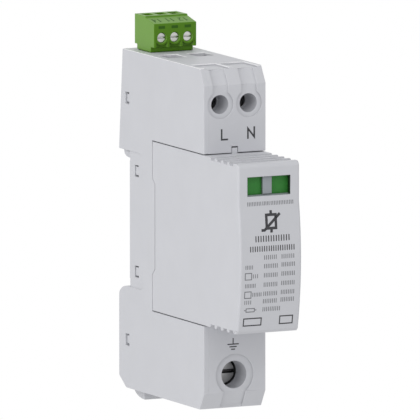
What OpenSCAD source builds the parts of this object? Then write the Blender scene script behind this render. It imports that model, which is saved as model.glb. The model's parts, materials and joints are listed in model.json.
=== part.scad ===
// Single-module surge arrester for a 35 mm rail: base, pull-out protection module, signalling plug.
// X runs across the width, -Y is the front and +Z is up.
// The origin is the rail's centre line on the plane where the rail seats.

/* [Base] */
// Width across the mounting pitch
body_w = 18; // [17.4:0.1:20]
// Height of the base
body_h = 90.1; // [88:0.1:94]
// Rail seat to the front of the terminal shoulders
shoulder_d = 45; // [43:0.5:50]
// Rail seat to the back of the base
back_d = 6; // [5.4:0.1:7]
// How far the upper back leans in at the top edge
back_lean = 2.2; // [0:0.1:3]
// Depth of the sloped shoulder corners
corner_d = 2.6; // [1.5:0.1:4]
// Height of the sloped shoulder corners
corner_h = 4.4; // [2.5:0.1:6]
// Depth of the slope at the lower back corner
heel_d = 4.2; // [3:0.1:5]
// Height of the slope at the lower back corner
heel_h = 2.8; // [2:0.1:4]
// Wall round the edge of the base
wall_t = 1.4; // [1.2:0.1:1.8]
// Thickness of the side cover and of the side wall opposite
side_t = 1.3; // [1:0.1:1.6]
// Depth of the stepped-back field beside the rail
pad_recess = 0.2; // [0.2:0.1:0.6]
// Rail seat to the front edge of that field
pad_d = 8.4; // [6:0.1:10]

/* [Rail] */
// Height of the top-hat rail
rail_h = 35; // [34:0.1:36]
// Sheet thickness of the rail
rail_t = 1; // [0.8:0.1:1.4]
// Reach of the hook and of the latch behind the rail edge
hook_reach = 1.5; // [1:0.1:2]
// Room between the rail edge and the claws
rail_play = 0.35; // [0.2:0.05:0.8]
// Room between the rail's upper edge and the upper claw
upper_play = 0.8; // [0.5:0.05:1.2]
// Inset of the hook from both sides
hook_inset = 1.5; // [1:0.1:3]
// Relief of the rail seat next to the claws
seat_relief = 0.3; // [0.2:0.1:0.5]

/* [Rail latch] */
// Width of the latch
latch_w = 10.8; // [9:0.1:12]
// Thickness of the latch strip
latch_t = 1.9; // [1.6:0.1:2.2]
// Travel of the latch
latch_travel = 3; // [2:0.5:4]
// How far the pull tab stands below the base
tab_h = 2.8; // [2:0.1:4]
// Depth of the pull tab
tab_d = 6.6; // [5:0.1:7.5]
// Outer diameter of the latch spring
latch_spring_od = 1.9; // [1.6:0.1:2]
// Free length of the latch spring as fitted
latch_spring_l = 11; // [8:0.5:14]

/* [Terminals] */
// Top edge to the axis of the L and N screws
screw_drop = 9.5; // [8.5:0.1:10]
// Bottom edge to the axis of the earth screw
pe_screw_drop = 9; // [8.5:0.1:10]
// Diameter of the L and N screwdriver holes
screw_hole = 5; // [4.4:0.1:5.2]
// Diameter of the earth screwdriver hole
pe_screw_hole = 7.3; // [6.5:0.1:7.6]
// Diameter of the recess round the L and N holes
ring_d = 7.5; // [7:0.1:8]
// Diameter of the recess round the earth hole
pe_ring_d = 11; // [10:0.1:12]
// Width of the finger channel over the L and N corners
channel_w = 4.5; // [3:0.1:5]
// Width of the finger channel over the earth corner
pe_channel_w = 6.5; // [5:0.1:8]
// Depth of rings, channels and ledges
recess_t = 0.5; // [0.3:0.1:0.8]
// Thread diameter of the L and N screws
screw_d = 4; // [3.5:0.1:4.2]
// Thread diameter of the earth screw
pe_screw_d = 5; // [4.5:0.1:6]
// Shoulder front to the seat of the L and N screw heads
seat_depth = 12.8; // [11:0.1:14]
// Shoulder front to the seat of the earth screw's head
pe_seat_depth = 9.2; // [8:0.1:12]
// Thickness of the screw heads
head_t = 2.2; // [1.8:0.1:2.6]
// Height of the clamp cages
cage_h = 7; // [6:0.1:8]
// Sheet thickness of the clamp cages
cage_t = 1; // [0.8:0.1:1.2]
// Thickness of the threaded cage wall
cage_nut_t = 3.3; // [2.5:0.1:3.5]
// Depth of a wire entry
entry_d = 6.5; // [5.5:0.1:7]
// Width of the L and N wire entries
entry_w = 5.2; // [4.8:0.1:5.4]
// Width of the earth wire entry
pe_entry_w = 6.8; // [6:0.1:8]
// Plug front to the wire entries
entry_gap = 3.6; // [3:0.1:5]
// Thickness of the contact bars
bar_t = 1.5; // [1.2:0.1:1.6]
// Width of the L and N contact bars
bar_w = 3.6; // [3.2:0.1:4]
// Width of the earth contact bar
pe_bar_w = 5.6; // [5:0.1:6]

/* [Protection module] */
// Opening between the shoulders
window_h = 45.4; // [44:0.1:46]
// Gap round the module
module_gap = 0.25; // [0.15:0.05:0.4]
// Rail seat to the module's front at its crown
module_d = 66.4; // [62:0.2:70]
// Radius of the front's curve
front_r = 91; // [80:1:200]
// Height of the curve's crown over the rail's centre line
crown_z = -3; // [-6:0.5:6]
// Height where the curve ends at the flat part round the window
flat_z = 12; // [8:0.5:13]
// Rounding of the module's front edges
front_round = 1.4; // [0.6:0.1:2]
// Wall of the module
module_t = 1.4; // [1.2:0.1:1.6]
// Rail seat to the floor of the module's bay
floor_d = 14; // [13.5:0.1:15]
// Step of the floor at its middle
floor_step = 1.5; // [1:0.1:2]
// Height of the floor's stepped part
step_h = 22.6; // [18:0.2:26]
// Number of grip grooves above and below
groove_n = 4; // [2:1:5]
// Distance from groove to groove
groove_pitch = 3.7; // [3:0.1:4]
// Width of a grip groove
groove_w = 2.3; // [1.4:0.1:2.6]
// Depth of a grip groove
groove_t = 0.8; // [0.3:0.1:1]
// Rail seat to the rearmost groove
groove_d = 50; // [49:0.1:52]
// Width of the indicator window
view_w = 12.4; // [11:0.1:13]
// Height of the indicator window
view_h = 5.1; // [4.5:0.1:6]
// Height of the window's middle over the rail's centre line
view_z = 16.35; // [15:0.05:17]
// Module front to the indicator flags
view_d = 2; // [1.8:0.1:2.6]
// Width of the bar between the indicators
view_bar_w = 2.6; // [2:0.05:4]
// Thickness of a varistor
varistor_t = 5; // [4:0.1:5.2]
// Height of a varistor
varistor_h = 28; // [24:0.5:29]
// Length of a varistor
varistor_l = 29; // [25:0.5:30]
// Trip angle of the arms
trip_angle = 30; // [20:1:34]
// Arm pivot to the flag's fork
arm_r = 10.7; // [10:0.1:11]

/* [Signalling plug] */
// Pitch of the poles
plug_pitch = 3.81; // [3.5:0.01:4]
// Width of the plug
plug_w = 12.4; // [11.8:0.1:13]
// Rail seat to the plug's front
plug_front = 9.4; // [9:0.1:10]
// Rail seat to the plug's back
plug_back = 2.3; // [1.5:0.1:2.5]
// Gap between the base's top and the plug
plug_gap = 1.4; // [1:0.05:2]
// Height of the plug at its back
plug_h = 7.9; // [7.4:0.1:9]
// Height of the plug at its front edge
plug_front_h = 6.4; // [6:0.1:7]
// Depth of the flat top behind the slope
plug_top_d = 6.5; // [5:0.1:7]
// Setback of the plug's skirt at the front
skirt_front = 2; // [1.6:0.1:2.4]
// Setback of the plug's skirt at the back
skirt_back = 1.4; // [1:0.1:1.8]
// Inset of the plug's foot at the front and back
foot_inset = 2.3; // [2:0.1:2.6]
// How far the foot reaches into the base
foot_h = 7.4; // [6:0.1:8]
// Head diameter of the plug's screws
plug_head = 2.5; // [2.2:0.1:2.7]
// Thread diameter of the plug's screws
plug_screw_d = 1.6; // [1.4:0.1:1.8]
// Radius of the rims under the plug's screws
boss_r = 1.9; // [1.8:0.1:2.2]
// Height of the screws over the plug's underside
plug_screw_z = 2.6; // [2.4:0.1:3.2]

/* [Clearances] */
// Side room of a part that slides
slide_gap = 0.25; // [0.15:0.05:0.35]
// Radial room of a turning part
turn_gap = 0.05; // [0.03:0.01:0.1]
// Radial room of a screw head in its hole
head_gap = 0.2; // [0.1:0.05:0.3]
// Radial room of the earth screw's head in its hole
pe_head_gap = 0.5; // [0.2:0.05:0.6]
// Room of a fixed part in its pocket
fit_gap = 0.1; // [0.05:0.05:0.2]

/* [Hidden] */
$fn = 48;
// Overrun of a cut past the face it opens
eps = 0.5;

// Main planes of the base
half_w = body_w / 2;
in_x = half_w - side_t;
top_z = body_h / 2;
bay_z = window_h / 2;
upper_claw = rail_h / 2 + upper_play;
lower_claw = rail_h / 2 + rail_play;
claw_land = 0.8;
claw_run = back_d - claw_land;
claw_drop = 2.75;
nose_run = 2.7;
nose_rise = 1.7;
hook_y = rail_t + rail_play;
seat_h = rail_h - 2 * hook_reach - 2 * rail_play;
ledge_d = 34.4;
partition_t = 1.2;

// Terminals
screw_z = top_z - screw_drop;
pe_screw_z = -top_z + pe_screw_drop;
pole_x = (in_x + partition_t / 2) / 2;
seat_y = -shoulder_d + seat_depth;
pe_seat_y = -shoulder_d + pe_seat_depth;
seat_web = 1.2;
rim_depth = 6.3;
rim_t = 1.2;
rim_in = 0.35;
slot_share = 0.65;
notch_w = 1.9;
catch_gap = 0.15;
entry_y = -plug_front - entry_gap;
bar_back = entry_y - entry_d - cage_t;
bar_front = bar_back - bar_t;
cage_front = bar_front - slide_gap - cage_nut_t;
cage_w = in_x - partition_t / 2 - 2 * slide_gap;
pe_cage_w = pe_entry_w + 2 * cage_t;
bay_in = bay_z + wall_t;
floor_in = -floor_d + wall_t;
blade_z = 16;
blade_h = 5;
blade_t = 1;
leaf_t = 0.6;
leaf_l = 5;
blade_end = floor_in + bar_t + leaf_l - slide_gap;

// Latch channel
latch_cover_t = 1.15;
latch_y = back_d - latch_cover_t - slide_gap - latch_t;
latch_block_y = -0.4;
latch_peg_rise = 1;
latch_peg_z = -top_z + heel_h + latch_peg_rise;
latch_peg_t = 1.4;
spring_wire = 0.3;
latch_spring_n = 9;

// Signalling parts in the base
board_t = 1.2;
board_margin = 1.5;
board_notch_r = 1;
board_front = -wall_t - board_t;
pin_w = 0.8;
pin_tail = 3;
pin_y = board_front - pin_w / 2;
switch_h = 12.8;
switch_w = 6.4;
switch_gap = 1.4;
switch_front = floor_in + switch_gap;
plunger_r = 1.2;
plunger_out = 0.9;
plunger_in = 2.8;
plunger_room = 1;
foot_side = 0.3;
foot_w = plug_w - 2 * foot_side;
foot_front = -plug_front + foot_inset;
foot_back = plug_back - foot_inset;
foot_z = top_z - foot_h;
header_t = 1;
header_floor_t = 1.6;
header_z = foot_z - slide_gap - header_floor_t;

// Snap tongues through the cover, by their middles in Y and Z
tongue_h = 2.2;
tongue_w = 2.1;
tongue_in = 0.45;
tongue_under = 2.5;
window_l = 3.1;
web_tongue_y = -4.3;
web_tongue_z = 13.4;
arm_tongue_y = 1.1;
arm_tongue_z = header_z - tongue_under - tongue_h / 2;
TONGUES = [[arm_tongue_y, arm_tongue_z], [web_tongue_y, web_tongue_z],
    [web_tongue_y, -web_tongue_z], [arm_tongue_y, -arm_tongue_z]];

// Module
module_z = bay_z - module_gap;
bay_floor = -floor_d - module_gap;
step_floor = bay_floor - floor_step;
shell_x = half_w - module_t;
shell_z = module_z - module_t;
plate_t = 1.6;
plate_gap = 0.2;
plate_back = step_floor - plate_gap;
plate_front = plate_back - plate_t;
view_sill = 0.3;
flag_t = 0.8;
flag_play = 0.15;
flag_y = front_y(view_z) + view_d;
bar_proud = 1;
bar_web = 1.2;
flag_over = 0.2;
flag_h = view_h + 2 * flag_over;
fork_l = 2.6;
fork_t = 0.8;
fork_play = 0.3;
tip_in = 0.4;
arm_t = 1.2;
fork_gap = arm_t / 2 + fork_play;
arm_w = 2;
arm_x = (view_bar_w / 2 + view_w / 2) / 2;
tip_y = flag_y + flag_t + fork_l - tip_in;
arm_y = tip_y + arm_r * cos(trip_angle / 2);
arm_z = view_z - arm_r * sin(trip_angle / 2);
arm_rear = 9;
pivot_r = 1.1;
frame_y = flag_y + flag_t + slide_gap;
frame_t = 0.8;
frame_under = 1;
varistor_gap = 2.6;
varistor_round = 3;
varistor_back = plate_front - varistor_gap;
varistor_z = -shell_z + varistor_gap;
tab_l = 2;
tab_sink = 0.5;
strap_t = 0.4;
blade_foot = 6;
spring_arm = 6;
spring_y = arm_y - spring_arm * cos(trip_angle / 2);
spring_foot = 1.2;
trip_spring_r = 0.4 * arm_w;
trip_spring_gap = 1.5 * spring_wire;
trip_spring_n = 8;
rod_t = 0.8;
rod_h = 3;
rod_l = 14;

// Plug
plug_z = top_z + plug_gap;
plug_top = plug_z + plug_h;
plug_lip = 0.4;
scallop_d = 1.2;
rib_t = 0.7;
pole_wall = 1;
pole_w = plug_pitch - pole_wall;
plug_back_t = 0.7;
pole_back = plug_back - plug_back_t;
plug_axis = plug_z + plug_screw_z;
plug_sink = 0.7;
plug_head_t = 1.2;
plug_seat = -plug_front + plug_sink + plug_head_t;
plug_web = 0.8;
plug_bar_t = 0.6;
plug_bar_front = pin_y - pin_w / 2 + fit_gap;
plug_cage_h = 3.6;
plug_cage_t = 0.6;
plug_nut_t = 1.7;
plug_cage_w = pole_w - slide_gap;
plug_cage_side = (plug_cage_w - plug_screw_d) / 2 - fit_gap;
contact_w = 1.3;
contact_leaf = 0.4;
socket_gap = 0.5;

function curve_y(z) = -module_d + front_r - sqrt(front_r * front_r - (z - crown_z) * (z - crown_z));
function front_y(z) = curve_y(min(z, flat_z));

// Shared shapes: an extrusion across the width, a box from its ranges, and rods along each axis
module slab(x0, x1) {
    translate([x0, 0, 0]) rotate([90, 0, 90]) linear_extrude(x1 - x0) children();
}
module box(x, y, z) {
    translate([x[0], y[0], z[0]]) cube([x[1] - x[0], y[1] - y[0], z[1] - z[0]]);
}
module rod_x(r, x0, x1, y, z) {
    translate([x0, y, z]) rotate([0, 90, 0]) cylinder(r = r, h = x1 - x0);
}
module rod_y(r, y0, y1, x, z) {
    translate([x, y1, z]) rotate([90, 0, 0]) cylinder(r = r, h = y1 - y0);
}

// A compression spring along Z as one swept wire
module coil(radius, wire, length, turns) {
    sides = 6;
    steps = 10 * turns;
    rings = [for (i = [0:steps]) let (a = 360 * turns * i / steps)
        [for (k = [0:sides - 1]) let (b = 360 * k / sides, r = radius + wire / 2 * cos(b))
            [r * cos(a), r * sin(a), (length - wire) * i / steps + wire / 2 + wire / 2 * sin(b)]]];
    points = [for (ring = rings) each ring];
    last = steps * sides;
    faces = concat(
        [[for (k = [0:sides - 1]) k]],
        [[for (k = [sides - 1:-1:0]) last + k]],
        [for (i = [0:steps - 1], k = [0:sides - 1])
            [i * sides + k, (i + 1) * sides + k, (i + 1) * sides + (k + 1) % sides]],
        [for (i = [0:steps - 1], k = [0:sides - 1])
            [i * sides + k, (i + 1) * sides + (k + 1) % sides, i * sides + (k + 1) % sides]]);
    polyhedron(points, faces);
}

// Side outline of the base: two shoulders, the module bay between them and the rail notch behind
module base_shape() {
    polygon(concat(
        [[back_d - back_lean, top_z], [-shoulder_d + corner_d, top_z], [-shoulder_d, top_z - corner_h],
            [-shoulder_d, bay_z], [-floor_d, bay_z],
            [-floor_d, step_h / 2 + floor_step], [-floor_d - floor_step, step_h / 2],
            [-floor_d - floor_step, -step_h / 2], [-floor_d, -step_h / 2 - floor_step],
            [-floor_d, -bay_z], [-shoulder_d, -bay_z],
            [-shoulder_d, -top_z + corner_h], [-shoulder_d + corner_d, -top_z],
            [back_d - heel_d, -top_z], [back_d, -top_z + heel_h]],
        [for (a = [0:15:90])
            [back_d - claw_run + claw_run * cos(a), -lower_claw - claw_drop + claw_drop * sin(a)]],
        [[0, -lower_claw], [0, upper_claw], [back_d, upper_claw]]));
}

// Field beside the rail that is stepped back on both sides
module pad_shape() {
    r = 1.5;
    hull() {
        for (z = [-lower_claw + r, upper_claw - r]) translate([-pad_d + r, z]) circle(r, $fn = 32);
        translate([0, -lower_claw]) square([eps, lower_claw + upper_claw]);
    }
}

// Recesses in the front: a ring round each screw hole and a finger channel over the sloped corner
module shoulder_band(x, w, z0, z1) {
    intersection() {
        slab(x - w / 2, x + w / 2) difference() {
            offset(delta = eps) base_shape();
            offset(delta = -recess_t) base_shape();
        }
        box([-body_w, body_w], [-shoulder_d - 2 * eps, -shoulder_d + corner_d], [z0, z1]);
    }
}
module front_recesses() {
    for (s = [-1, 1]) {
        rod_y(ring_d / 2, -shoulder_d - eps, -shoulder_d + recess_t, s * pole_x, screw_z);
        shoulder_band(s * pole_x, channel_w, screw_z, top_z + 2 * eps);
    }
    rod_y(pe_ring_d / 2, -shoulder_d - eps, -shoulder_d + recess_t, 0, pe_screw_z);
    shoulder_band(0, pe_channel_w, -top_z - 2 * eps, pe_screw_z);
}
module top_ledges() {
    w = in_x - partition_t / 2;
    for (s = [-1, 1])
        box([s * pole_x - w / 2, s * pole_x + w / 2], [-shoulder_d, -ledge_d],
            [top_z - recess_t, top_z + eps]);
}

// Solid parts inside the housing: screw guides, the wall between the poles, latch guide and board rib
module housing_ribs() {
    box([-in_x, in_x], [-shoulder_d, seat_y + seat_web],
        [screw_z - screw_hole / 2 - wall_t, screw_z + screw_hole / 2 + wall_t]);
    box([-in_x, in_x], [-shoulder_d, pe_seat_y + seat_web],
        [pe_screw_z - pe_screw_hole / 2 - wall_t, pe_screw_z + pe_screw_hole / 2 + wall_t]);
    box([-partition_t / 2, partition_t / 2], [-shoulder_d, entry_y + 2 * cage_t], [bay_z, top_z]);
    for (s = [-1, 1])
        box([s * (pe_cage_w / 2 + slide_gap + partition_t / 2) - partition_t / 2,
            s * (pe_cage_w / 2 + slide_gap + partition_t / 2) + partition_t / 2],
            [pe_seat_y, entry_y + 2 * cage_t], [-top_z, -bay_z]);
    box([-in_x, in_x], [latch_block_y, back_d], [-top_z, -lower_claw + claw_drop]);
    box([-in_x, in_x], [-wall_t, arm_tongue_y + tongue_w / 2],
        [arm_tongue_z - window_l, arm_tongue_z + tongue_h / 2]);
    for (s = [-1, 1])
        box([-in_x, in_x], [web_tongue_y - tongue_w / 2, web_tongue_y + tongue_w / 2],
            [s * web_tongue_z - tongue_h / 2, s * web_tongue_z + tongue_h / 2]);
}
module cover_tongues() {
    for (t = TONGUES)
        box([-half_w + tongue_in, -in_x + fit_gap], [t[0] - tongue_w / 2, t[0] + tongue_w / 2],
            [t[1] - tongue_h / 2, t[1] + tongue_h / 2]);
}
module rail_hook() {
    tip = rail_h / 2 - hook_reach;
    lead = 0.6;
    slab(-half_w + hook_inset, half_w - hook_inset) polygon(concat(
        [[hook_y, upper_claw + wall_t], [hook_y, tip + lead], [hook_y + lead, tip]],
        [for (a = [0:15:90]) [back_d - nose_run + nose_run * sin(a), tip + nose_rise - nose_rise * cos(a)]],
        [[back_d, upper_claw + wall_t]]));
}
module latch_channel() {
    w = latch_w / 2 + slide_gap;
    difference() {
        box([-w, w], [latch_y - slide_gap, latch_y + latch_t + slide_gap], [-top_z - eps, 0]);
        box([-latch_spring_od / 2, latch_spring_od / 2], [latch_y - eps, latch_y + latch_t + eps],
            [latch_peg_z, latch_peg_z + latch_peg_t]);
    }
    box([-w, w], [hook_y - slide_gap, latch_y + latch_t], [-lower_claw - latch_travel - hook_reach, 0]);
}
module pole_bore(x, z, hole, d, seat) {
    rod_y(hole / 2, -shoulder_d - eps, seat, x, z);
    rod_y(d / 2 + head_gap, seat - eps, seat + seat_web + eps, x, z);
}
// The L and N bores have a rim part-way in that keeps the screw from falling out
module rimmed_bore(x) {
    rim_y = -shoulder_d + rim_depth;
    difference() {
        pole_bore(x, screw_z, screw_hole, screw_d, seat_y);
        difference() {
            rod_y(screw_hole, rim_y, rim_y + rim_t, x, screw_z);
            rod_y(screw_hole / 2 - rim_in, rim_y - eps, rim_y + rim_t + eps, x, screw_z);
        }
    }
}
module module_notch() {
    box([-notch_w / 2, notch_w / 2], [-shoulder_d - eps, -shoulder_d + wall_t + slide_gap],
        [bay_z - eps, bay_z + wall_t + slide_gap]);
}

module base_housing() color("lightgray") difference() {
    union() {
        difference() {
            slab(-in_x, half_w) base_shape();
            slab(-in_x - eps, in_x) offset(delta = -wall_t) base_shape();
        }
        intersection() {
            slab(-in_x, in_x + eps) base_shape();
            housing_ribs();
        }
        cover_tongues();
        rail_hook();
    }
    front_recesses();
    top_ledges();
    latch_channel();
    module_notch();
    for (s = [-1, 1]) {
        rimmed_bore(s * pole_x);
        box([s * pole_x - entry_w / 2, s * pole_x + entry_w / 2], [entry_y - entry_d, entry_y],
            [screw_z, top_z + eps]);
        box([s * pole_x - blade_t / 2 - slide_gap, s * pole_x + blade_t / 2 + slide_gap],
            [-floor_d - eps, floor_in + eps],
            [blade_z - blade_h / 2 - slide_gap, blade_z + blade_h / 2 + slide_gap]);
    }
    pole_bore(0, pe_screw_z, pe_screw_hole, pe_screw_d, pe_seat_y);
    box([-pe_entry_w / 2, pe_entry_w / 2], [entry_y - entry_d, entry_y], [-top_z - eps, pe_screw_z]);
    box([-blade_t / 2 - slide_gap, blade_t / 2 + slide_gap], [-floor_d - eps, floor_in + eps],
        [-blade_z - blade_h / 2 - slide_gap, -blade_z + blade_h / 2 + slide_gap]);
    rod_y(plunger_r + head_gap, -floor_d - floor_step - eps, floor_in, 0, 0);
    box([-foot_w / 2 - slide_gap, foot_w / 2 + slide_gap], [foot_front - slide_gap, foot_back + slide_gap],
        [foot_z, top_z + eps]);
    slab(half_w - pad_recess, half_w + eps) pad_shape();
    for (z = [[seat_h / 2, upper_claw], [-lower_claw, -seat_h / 2]])
        box([-body_w, body_w], [-seat_relief, eps], z);
}

module base_cover() color("gainsboro") difference() {
    slab(-half_w, -in_x) base_shape();
    for (t = TONGUES)
        box([-half_w - eps, -in_x + eps], [t[0] - tongue_w / 2 - fit_gap, t[0] + tongue_w / 2 + fit_gap],
            [t[1] - window_l / 2, t[1] + window_l / 2]);
    slab(-half_w - eps, -half_w + pad_recess) pad_shape();
    front_recesses();
    for (z = [[seat_h / 2, upper_claw], [-lower_claw, -seat_h / 2]])
        box([-body_w, body_w], [-seat_relief, eps], z);
}

// Sprung latch behind the lower rail edge, with its pull tab under the base
module rail_latch() color("silver") {
    tip = -rail_h / 2 + hook_reach;
    lead = 1;
    tab_z = -top_z - slide_gap;
    back = latch_y + latch_t;
    difference() {
        slab(-latch_w / 2, latch_w / 2) polygon(concat(
            [[latch_y, tab_z], [latch_y, -rail_h / 2 - rail_play], [hook_y, -rail_h / 2 - rail_play],
                [hook_y, tip - lead / 2], [hook_y + lead, tip], [back - lead, tip], [back, tip - lead]],
            [for (a = [0:15:90]) [back - tab_d + tab_d * cos(a), tab_z - tab_h * sin(a)]],
            [[back - tab_d, tab_z]]));
        box([-latch_spring_od / 2 - slide_gap, latch_spring_od / 2 + slide_gap], [latch_y - eps, back + eps],
            [latch_peg_z - slide_gap, latch_peg_z + latch_peg_t + latch_spring_l + fit_gap]);
    }
}
module latch_spring() color("dimgray")
    translate([0, latch_y + latch_t / 2, latch_peg_z + latch_peg_t])
        coil((latch_spring_od - spring_wire) / 2, spring_wire, latch_spring_l, latch_spring_n);

// Screw terminals: a turning screw, a cage that it draws forward and the bar that the wire lies on
module clamp_screw(x, z, head_r, d, seat) {
    slot_w = d / 5;
    difference() {
        union() {
            rod_y(head_r, seat - head_t, seat, x, z);
            rod_y(d / 2, seat - fit_gap, bar_front - fit_gap, x, z);
        }
        box([x - 2 * head_r, x + 2 * head_r], [seat - head_t - eps, seat - head_t + slot_share * head_t],
            [z - slot_w / 2, z + slot_w / 2]);
    }
}
module clamp_cage(x, z, w, d) {
    difference() {
        box([x - w / 2, x + w / 2], [cage_front, entry_y + cage_t], [z - cage_h / 2, z + cage_h / 2]);
        box([x - w / 2 + cage_t, x + w / 2 - cage_t], [cage_front + cage_nut_t, entry_y],
            [z - cage_h, z + cage_h]);
        rod_y(d / 2 + turn_gap, cage_front - eps, cage_front + cage_nut_t + eps, x, z);
    }
}
module contact_bar(x, w, z_end) {
    foot = blade_z - blade_h / 2 - slide_gap - bar_t;
    leaf_in = blade_t / 2 + fit_gap;
    difference() {
        union() {
            box([x - w / 2, x + w / 2], [bar_front, bar_back], [bay_in, z_end]);
            box([x - w / 2, x + w / 2], [bar_front, floor_in + bar_t], [bay_in, bay_in + bar_t]);
            box([x - bar_w / 2, x + bar_w / 2], [floor_in, floor_in + bar_t], [foot, bay_in + bar_t]);
            for (s = [-1, 1])
                box([x + s * (leaf_in + leaf_t / 2) - leaf_t / 2, x + s * (leaf_in + leaf_t / 2) + leaf_t / 2],
                    [floor_in + bar_t / 2, floor_in + bar_t + leaf_l],
                    [blade_z - blade_h / 2, blade_z + blade_h / 2]);
        }
        box([x - leaf_in, x + leaf_in], [floor_in - eps, floor_in + bar_t + leaf_l],
            [blade_z - blade_h / 2 - slide_gap, blade_z + blade_h / 2 + slide_gap]);
    }
}
module terminal_screw_l() color("silver")
    clamp_screw(-pole_x, screw_z, screw_hole / 2 - head_gap, screw_d, seat_y);
module terminal_screw_n() color("silver")
    clamp_screw(pole_x, screw_z, screw_hole / 2 - head_gap, screw_d, seat_y);
module terminal_screw_pe() color("silver")
    clamp_screw(0, pe_screw_z, pe_screw_hole / 2 - pe_head_gap, pe_screw_d, pe_seat_y);
module clamp_cage_l() color("gray") clamp_cage(-pole_x, screw_z, cage_w, screw_d);
module clamp_cage_n() color("gray") clamp_cage(pole_x, screw_z, cage_w, screw_d);
module clamp_cage_pe() color("gray") clamp_cage(0, pe_screw_z, pe_cage_w, pe_screw_d);
module contact_bar_l() color("goldenrod") contact_bar(-pole_x, bar_w, screw_z + cage_h / 2);
module contact_bar_n() color("goldenrod") contact_bar(pole_x, bar_w, screw_z + cage_h / 2);
module contact_bar_pe() color("goldenrod")
    mirror([0, 0, 1]) contact_bar(0, pe_bar_w, -pe_screw_z + cage_h / 2);

// Remote signalling in the base: a board that carries the switch and the plug's header
module signal_board() color("darkgreen") difference() {
    box([-in_x + slide_gap, in_x - slide_gap], [board_front, -wall_t],
        [-switch_h / 2 - board_margin, header_z]);
    for (x = [-in_x, in_x], z = [0, arm_tongue_z - window_l])
        rod_y(board_notch_r, board_front - eps, -wall_t + eps, x, z);
}
module signal_header() color("forestgreen") difference() {
    box([-in_x + slide_gap, in_x - slide_gap],
        [foot_front - slide_gap - header_t, foot_back + slide_gap + header_t], [header_z, top_z - wall_t]);
    box([-foot_w / 2 - slide_gap, foot_w / 2 + slide_gap], [foot_front - slide_gap, foot_back + slide_gap],
        [foot_z - slide_gap, top_z]);
    for (i = [-1:1])
        box([i * plug_pitch - pin_w / 2, i * plug_pitch + pin_w / 2], [pin_y - pin_w / 2, pin_y + pin_w / 2],
            [header_z - eps, foot_z]);
}
module header_pins() color("silver")
    for (i = [-1:1])
        box([i * plug_pitch - pin_w / 2, i * plug_pitch + pin_w / 2], [pin_y - pin_w / 2, pin_y + pin_w / 2],
            [header_z - pin_tail, top_z - wall_t]);
module microswitch() color("dimgray") difference() {
    box([-switch_w / 2, switch_w / 2], [switch_front, board_front], [-switch_h / 2, switch_h / 2]);
    rod_y(plunger_r + turn_gap, switch_front - eps, switch_front + plunger_in + plunger_room, 0, 0);
}
module switch_plunger() color("red")
    rod_y(plunger_r, -floor_d - floor_step - plunger_out, switch_front + plunger_in, 0, 0);

// Side outline of the module without its back step; the front is drawn just proud of its true curve
module module_profile() {
    proud = 0.03;
    steps = 16;
    offset(r = front_round, $fn = 32) offset(delta = -front_round)
        polygon(concat(
            [[0, module_z]],
            [for (i = [0:steps]) let (z = module_z - 2 * module_z * i / steps) [front_y(z) - proud, z]],
            [[0, -module_z]]));
}
module module_back_shape() {
    polygon([[-2 * module_d, module_z + eps], [-2 * module_d, -module_z - eps],
        [bay_floor, -module_z - eps], [bay_floor, -step_h / 2 - floor_step],
        [step_floor, -step_h / 2], [step_floor, step_h / 2],
        [bay_floor, step_h / 2 + floor_step], [bay_floor, module_z + eps]]);
}
// The outline with its grip grooves, whose lands are rounded
module grip_profile() {
    land_round = 0.4;
    offset(r = land_round, $fn = 24) offset(delta = -land_round) difference() {
        module_profile();
        for (s = [-1, 1], i = [0:groove_n - 1])
            translate([-groove_d - i * groove_pitch, s * module_z])
                square([groove_w, 2 * groove_t], center = true);
    }
}
// The front: a curved panel below and a flat one round the window
module front_panel() {
    rod_x(front_r, -half_w - eps, half_w + eps, -module_d + front_r, crown_z, $fn = 720);
    box([-half_w - eps, half_w + eps], [front_y(flat_z), 0], [flat_z, top_z]);
}
module view_window() {
    low = view_z - view_h / 2;
    high = view_z + view_h / 2;
    front = front_y(view_z);
    slab(-view_w / 2, view_w / 2)
        polygon([[front - eps, low], [front, low], [front + module_t, low + view_sill],
            [flag_y, low + view_sill], [flag_y, high], [front - eps, high]]);
}
// The small catch on the module's top that sits in the notch of the upper shoulder
module module_catch() {
    catch_w = notch_w - 2 * catch_gap;
    box([-catch_w / 2, catch_w / 2], [-shoulder_d + fit_gap, -shoulder_d + wall_t],
        [module_z - eps, bay_z + wall_t - fit_gap]);
}
module module_shell() color("gainsboro") difference() {
    union() {
        intersection() {
            slab(-half_w, half_w) intersection() {
                grip_profile();
                module_back_shape();
            }
            front_panel();
        }
        module_catch();
    }
    slab(-shell_x, shell_x) offset(delta = -module_t) module_profile();
    view_window();
}

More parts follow.
